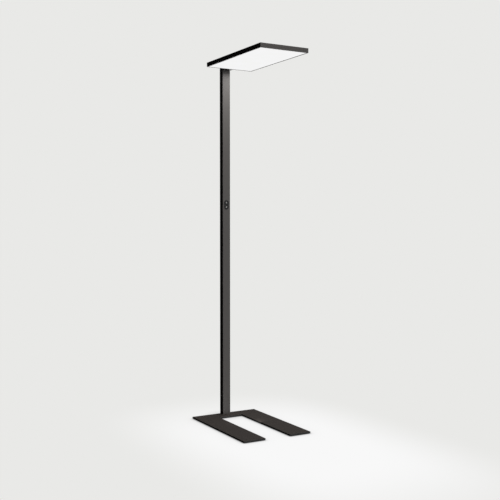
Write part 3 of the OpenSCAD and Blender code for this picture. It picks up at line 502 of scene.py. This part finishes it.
# Push buttons: sizes in mm
buttonCap = {
    "radius": 9.4,
    "rimRound": 0.6,
    "rimSteps": 4,
    "dish": [(8.4, 0.12), (7.2, 0.25), (6.0, 0.36), (4.8, 0.44), (3.65, 0.51)],  # radius and depth, inwards
    "lensSeat": 2.2,                   # its depth behind the cap's front
    "flangeRadius": 11.0,
    "flangeFront": 2.85,
    "flangeThick": 1.0,
    "stemRadius": 2.2,
    "sides": 72,
}
buttonLens = {
    "radius": 3.6,
    "behindRim": 0.55,
    "thick": 1.65,
    "edgeRound": 0.15,
    "edgeSteps": 2,
    "dome": [(3.1, 0.07), (2.4, 0.14), (1.5, 0.19), (0.6, 0.21)],                # radius and rise, inwards
    "sides": 48,
}
facesFront = (math.radians(90), 0, 0)  # lays a disc's axis along Y


def modelCap(name, node, body, plan):
    low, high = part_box(node)
    x, z, front = (low.x + high.x) / 2, (low.z + high.z) / 2, low.y
    step = front + plan["flangeFront"] * mm
    middle = (x, (front + step) / 2, z)
    cap = startRound(name, middle, plan["radius"] * mm, step - front, plan["sides"], facesFront)
    # behind: the flange that keeps the cap in, then the stem that meets the plunger
    pick(cap, "faces", lambda face: face.normal.y > square)
    grow = plan["flangeRadius"] / plan["radius"]
    pull((0, 0, 0))
    bpy.ops.transform.resize(value=(grow, 1, grow), center_override=(x, step, z))
    pull((0, plan["flangeThick"] * mm, 0))
    bpy.ops.mesh.inset(thickness=(plan["flangeRadius"] - plan["stemRadius"]) * mm)
    pull((0, high.y - step - plan["flangeThick"] * mm, 0))
    # in front: a shallow dish for the fingertip and the lens's seat in its middle
    pick(cap, "faces", lambda face: face.normal.y < -square and face.calc_center_median().y < front + near)
    radius, depth = plan["radius"], 0.0
    for nextRadius, nextDepth in plan["dish"]:
        bpy.ops.mesh.inset(thickness=(radius - nextRadius) * mm)
        bpy.ops.transform.translate(value=(0, (nextDepth - depth) * mm, 0))
        radius, depth = nextRadius, nextDepth
    pull((0, (plan["lensSeat"] - depth) * mm, 0))

    def onRim(point):
        fromAxis = math.hypot(point.co.x - x, point.co.z - z)
        return point.co.y < front + near and fromAxis > plan["radius"] * mm - near

    pick(cap, "edges", lambda edge: all(onRim(point) for point in edge.verts))
    bpy.ops.mesh.bevel(offset=plan["rimRound"] * mm, segments=plan["rimSteps"])
    finishPiece(cap, "capAbs", body)
    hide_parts(node)


def modelLens(name, node, body, capFront, plan):
    low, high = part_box(node)
    x, z = (low.x + high.x) / 2, (low.z + high.z) / 2
    front = capFront + plan["behindRim"] * mm
    middle = (x, front + plan["thick"] / 2 * mm, z)
    lens = startRound(name, middle, plan["radius"] * mm, plan["thick"] * mm, plan["sides"], facesFront)
    pick(lens, "edges", lambda edge: all(point.co.y < front + near for point in edge.verts))
    bpy.ops.mesh.bevel(offset=plan["edgeRound"] * mm, segments=plan["edgeSteps"])
    pick(lens, "faces", lambda face: face.normal.y < -square)
    radius, rise = plan["radius"] - plan["edgeRound"], 0.0
    for nextRadius, nextRise in plan["dome"]:
        bpy.ops.mesh.inset(thickness=(radius - nextRadius) * mm)
        bpy.ops.transform.translate(value=(0, (rise - nextRise) * mm, 0))
        radius, rise = nextRadius, nextRise
    finishPiece(lens, "lensFrosted", body)
    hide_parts(node)


for way in ("up", "down"):
    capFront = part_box("button_%s_cap" % way)[0].y
    modelCap(way + "ButtonCap", "button_%s_cap" % way, "button_" + way, buttonCap)
    modelLens(way + "ButtonLens", "button_%s_lens" % way, "button_" + way, capFront, buttonLens)
print("push buttons modelled")


# Glide pads: sizes in mm
glidePad = {
    "radius": 13.0,
    "thick": 2.0,
    "soleRound": 0.7,
    "soleSteps": 3,
    "grooves": [(9.6, 8.4), (5.6, 4.4)],      # outer and inner radius of the rings moulded in the sole
    "grooveDepth": 0.5,
    "inset": 22.0,                     # from the plate's edges to a pad's middle
    "gapHalf": 72.0,                   # half the gap between the plate's legs
    "sides": 64,
}


def modelGlides(plan):
    low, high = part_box("base_plate")
    inset, gapHalf = plan["inset"] * mm, plan["gapHalf"] * mm
    left, right = low.x + inset, high.x - inset
    tip, rear = low.y + inset, high.y - inset
    besideGap = gapHalf + inset
    legX, legY = (gapHalf + high.x) / 2, (low.y + high.y) / 2
    places = [(left, rear), (right, rear), (-legX, legY), (legX, legY),
              (left, tip), (right, tip), (-besideGap, tip), (besideGap, tip)]
    firstX, firstY = places[0]
    thick = plan["thick"] * mm
    pad = startRound("glidePads", (firstX, firstY, thick / 2), plan["radius"] * mm, thick, plan["sides"])
    pick(pad, "edges", lambda edge: all(point.co.z < near for point in edge.verts))
    bpy.ops.mesh.bevel(offset=plan["soleRound"] * mm, segments=plan["soleSteps"])
    pick(pad, "faces", lambda face: face.normal.z < -square)
    radius = plan["radius"] - plan["soleRound"]
    for outer, inner in plan["grooves"]:
        bpy.ops.mesh.inset(thickness=(radius - outer) * mm)
        pull((0, 0, plan["grooveDepth"] * mm))
        bpy.ops.mesh.inset(thickness=(outer - inner) * mm)
        pull((0, 0, -plan["grooveDepth"] * mm))
        radius = inner
    bpy.ops.object.mode_set(mode="OBJECT")
    copies = [pad]
    for x, y in places[1:]:
        bpy.ops.object.select_all(action="DESELECT")
        pad.select_set(True)
        bpy.context.view_layer.objects.active = pad
        bpy.ops.object.duplicate(linked=False)
        bpy.ops.transform.translate(value=(x - firstX, y - firstY, 0))
        bpy.ops.object.transform_apply(location=True, rotation=True, scale=True)
        copies.append(bpy.context.object)
    for copy in copies:
        copy.select_set(True)
    bpy.context.view_layer.objects.active = pad
    bpy.ops.object.join()
    finishPiece(pad, "glideRubber", "lamp")
    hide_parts("base_glides")


modelGlides(glidePad)
print("glide pads modelled")


# Cap of the cable gland: sizes in mm
glandCap = {
    "acrossFlats": 16.8,               # hexagon that a spanner turns
    "cornerRadius": 9.4,               # its corners are turned down to this next to the mast
    "cornerRadiusOut": 8.6,            # and to this at their outer end
    "gripLength": 4.2,
    "rings": 4,                        # steps along the grip in which the corners taper
    "radius": 8.2,                     # round end
    "domeRound": 2.0,
    "domeSteps": 5,
    "boreRadius": 4.2,
    "noseRadius": 6.7,                 # room inside for the body's threaded nose
    "endWall": 2.7,
    "sides": 72,
    "smoothDegrees": 22,               # smooths the rounded end, not the hexagon's corners
    "mergeWithin": 0.02,
}


def modelGlandCap(plan):
    low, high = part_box("gland_cap")
    x, z = (low.x + high.x) / 2, (low.z + high.z) / 2
    middle = (x, (low.y + high.y) / 2, z)
    length = high.y - low.y
    cap = startRound("glandCap", middle, plan["radius"] * mm, length, plan["sides"], facesFront)
    ringStep = plan["gripLength"] / plan["rings"] * mm
    for ring in range(plan["rings"]):
        bpy.ops.mesh.select_all(action="SELECT")
        bpy.ops.mesh.bisect(plane_co=(x, low.y + (ring + 1) * ringStep, z), plane_no=(0, 1, 0))
    # grip: the faces round the skirt are pulled out to the flats, then each ring's points follow the hexagon
    gripEnd = low.y + plan["gripLength"] * mm
    pick(cap, "faces", lambda face: abs(face.normal.y) < square and face.calc_center_median().y < gripEnd)
    pull((0, 0, 0))
    flat = plan["acrossFlats"] / 2
    grow = flat / plan["radius"]
    bpy.ops.transform.resize(value=(grow, 1, grow), center_override=middle)
    toCorner = 30                      # degrees from the middle of a flat
    pitch = 360 // plan["sides"]

    def onGrip(point, ringY, fromFlat):
        # points of one ring that lie so many degrees from the middle of a flat
        across, up = point.co.x - x, point.co.z - z
        degrees = abs(math.degrees(math.atan2(up, across)) % (2 * toCorner) - toCorner)
        outside = math.hypot(across, up) > flat * mm - near
        return outside and abs(point.co.y - ringY) < near and abs(degrees - fromFlat) < pitch / 2

    for ring in range(plan["rings"] + 1):
        ringY = low.y + ring * ringStep
        taper = ring / plan["rings"]
        corner = plan["cornerRadius"] + (plan["cornerRadiusOut"] - plan["cornerRadius"]) * taper
        for fromFlat in range(pitch, toCorner + pitch, pitch):
            pick(cap, "verts", lambda point: onGrip(point, ringY, fromFlat))
            grow = min(1 / math.cos(math.radians(fromFlat)), corner / flat)
            bpy.ops.transform.resize(value=(grow, 1, grow), center_override=middle)
    # rounded end
    pick(cap, "edges", lambda edge: all(point.co.y > high.y - near for point in edge.verts))
    bpy.ops.mesh.bevel(offset=plan["domeRound"] * mm, segments=plan["domeSteps"])

    def isDisc(face, y):
        # only the cap's flat ends and the bottoms of its holes have this many points
        return abs(face.calc_center_median().y - y) < near and len(face.verts) == plan["sides"]

    # the hole for the cord from outside and the room for the nose from inside, opened into each other
    endWall = plan["endWall"] * mm
    pick(cap, "faces", lambda face: isDisc(face, high.y))
    bpy.ops.mesh.inset(thickness=(plan["radius"] - plan["domeRound"] - plan["boreRadius"]) * mm)
    pull((0, -endWall, 0))
    pick(cap, "faces", lambda face: isDisc(face, low.y))
    bpy.ops.mesh.inset(thickness=(plan["radius"] - plan["noseRadius"]) * mm)
    pull((0, length - endWall, 0))
    bpy.ops.mesh.inset(thickness=(plan["noseRadius"] - plan["boreRadius"]) * mm)
    pick(cap, "faces", lambda face: isDisc(face, high.y - endWall))
    bpy.ops.mesh.delete(type="FACE")
    bpy.ops.mesh.select_all(action="SELECT")
    bpy.ops.mesh.remove_doubles(threshold=plan["mergeWithin"] * mm)
    bpy.ops.mesh.normals_make_consistent(inside=False)
    finishPiece(cap, "blackNylon", "lamp", plan["smoothDegrees"])
    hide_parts("gland_cap")


modelGlandCap(glandCap)
print("cable gland modelled")
